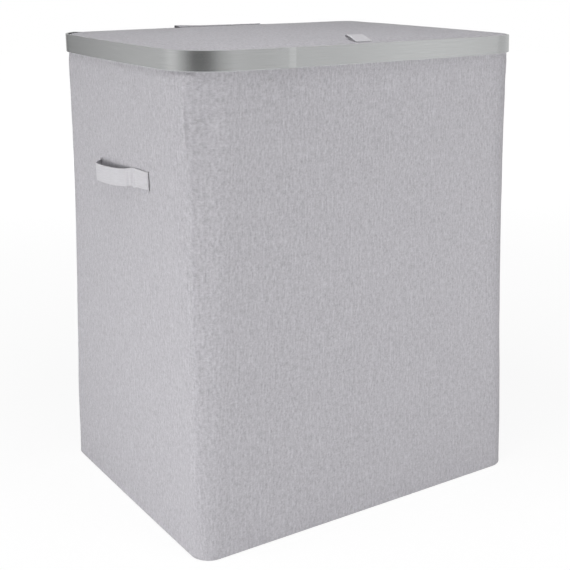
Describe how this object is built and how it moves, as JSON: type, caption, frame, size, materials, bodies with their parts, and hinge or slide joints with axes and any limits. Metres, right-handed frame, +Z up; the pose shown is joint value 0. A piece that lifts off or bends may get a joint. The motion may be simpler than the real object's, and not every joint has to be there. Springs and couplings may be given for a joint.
{
  "type": "laundry hamper",
  "caption": "Tall fabric laundry hamper with a metal rim band, a fabric-hinged lid with a pull tab, strap side handles, and side-by-side lift-out fabric bins inside.",
  "frame": {"origin": "middle of the footprint, on the floor the hamper stands on", "axes": "+X across the width to the right as seen from the front, +Y towards the back where the lid is hinged, +Z up"},
  "size_m": [0.5274, 0.393, 0.6192],
  "materials": {
    "cover_fabric": "heathered light grey woven fabric with fine vertical slubs, matte",
    "ribbon": "pale grey woven ribbon, slight sheen",
    "lining_fabric": "pale grey plain-weave lining, matte",
    "band_aluminium": "satin brushed",
    "hardboard": "smooth grey-brown board",
    "frame_plastic": "moulded, matte",
    "post_steel": "powder coated grey tube"
  },
  "bodies": {
    "root": {"rim_band_left": "band_aluminium", "rim_band_right": "band_aluminium", "outer_cover": "cover_fabric", "rim_frame": "frame_plastic", "base_board": "hardboard", "post_front_left": "post_steel", "post_front_right": "post_steel", "post_rear_left": "post_steel", "post_rear_right": "post_steel", "foot_socket_front_left": "frame_plastic", "foot_socket_front_right": "frame_plastic", "foot_socket_rear_left": "frame_plastic", "foot_socket_rear_right": "frame_plastic", "head_socket_front_left": "frame_plastic", "head_socket_front_right": "frame_plastic", "head_socket_rear_left": "frame_plastic", "head_socket_rear_right": "frame_plastic", "hinge_flap_rim": "cover_fabric"},
    "lid": {"lid_cover": "cover_fabric", "lid_board": "hardboard", "lid_lining": "lining_fabric", "hinge_flap_lid": "cover_fabric"},
    "tab": {"pull_tab": "ribbon"},
    "handle_left": {"side_handle_left": "ribbon"},
    "handle_right": {"side_handle_right": "ribbon"},
    "bin_left": {"bin_bag_left": "lining_fabric", "bin_hoop_left": "lining_fabric", "bin_floor_left": "hardboard"},
    "bin_right": {"bin_bag_right": "lining_fabric", "bin_hoop_right": "lining_fabric", "bin_floor_right": "hardboard"},
    "grip_left_front": {"bin_grip_left_front": "ribbon"},
    "grip_left_rear": {"bin_grip_left_rear": "ribbon"},
    "grip_right_front": {"bin_grip_right_front": "ribbon"},
    "grip_right_rear": {"bin_grip_right_rear": "ribbon"}
  },
  "joints": [
    {"name": "lid_hinge", "type": "hinge", "parent": "root", "child": "lid", "pos_m": [0, 0.19663, 0.61165], "axis": [-1, 0, 0], "range_deg": [0, 260]},
    {"name": "tab_hinge", "type": "hinge", "parent": "lid", "child": "tab", "pos_m": [-0.0095, -0.17901, 0.61008], "axis": [1, 0, 0], "range_deg": [0, 70]},
    {"name": "handle_left_hinge", "type": "hinge", "parent": "root", "child": "handle_left", "pos_m": [-0.25062, -0.0145, 0.462], "axis": [0, 1, 0], "range_deg": [0, 60]},
    {"name": "handle_right_hinge", "type": "hinge", "parent": "root", "child": "handle_right", "pos_m": [0.25062, -0.0145, 0.462], "axis": [0, -1, 0], "range_deg": [0, 60]},
    {"name": "bin_left_lift", "type": "slide", "parent": "root", "child": "bin_left", "axis": [0, 0, 1], "range_m": [0, 0.02]},
    {"name": "bin_right_lift", "type": "slide", "parent": "root", "child": "bin_right", "axis": [0, 0, 1], "range_m": [0, 0.02]},
    {"name": "grip_left_front_hinge", "type": "hinge", "parent": "bin_left", "child": "grip_left_front", "pos_m": [-0.1166, -0.16296, 0.5303], "axis": [1, 0, 0], "range_deg": [0, 160]},
    {"name": "grip_left_rear_hinge", "type": "hinge", "parent": "bin_left", "child": "grip_left_rear", "pos_m": [-0.1166, 0.16191, 0.5303], "axis": [-1, 0, 0], "range_deg": [0, 160]},
    {"name": "grip_right_front_hinge", "type": "hinge", "parent": "bin_right", "child": "grip_right_front", "pos_m": [0.1166, -0.16296, 0.5303], "axis": [1, 0, 0], "range_deg": [0, 160]},
    {"name": "grip_right_rear_hinge", "type": "hinge", "parent": "bin_right", "child": "grip_right_rear", "pos_m": [0.1166, 0.16191, 0.5303], "axis": [-1, 0, 0], "range_deg": [0, 160]}
  ]
}
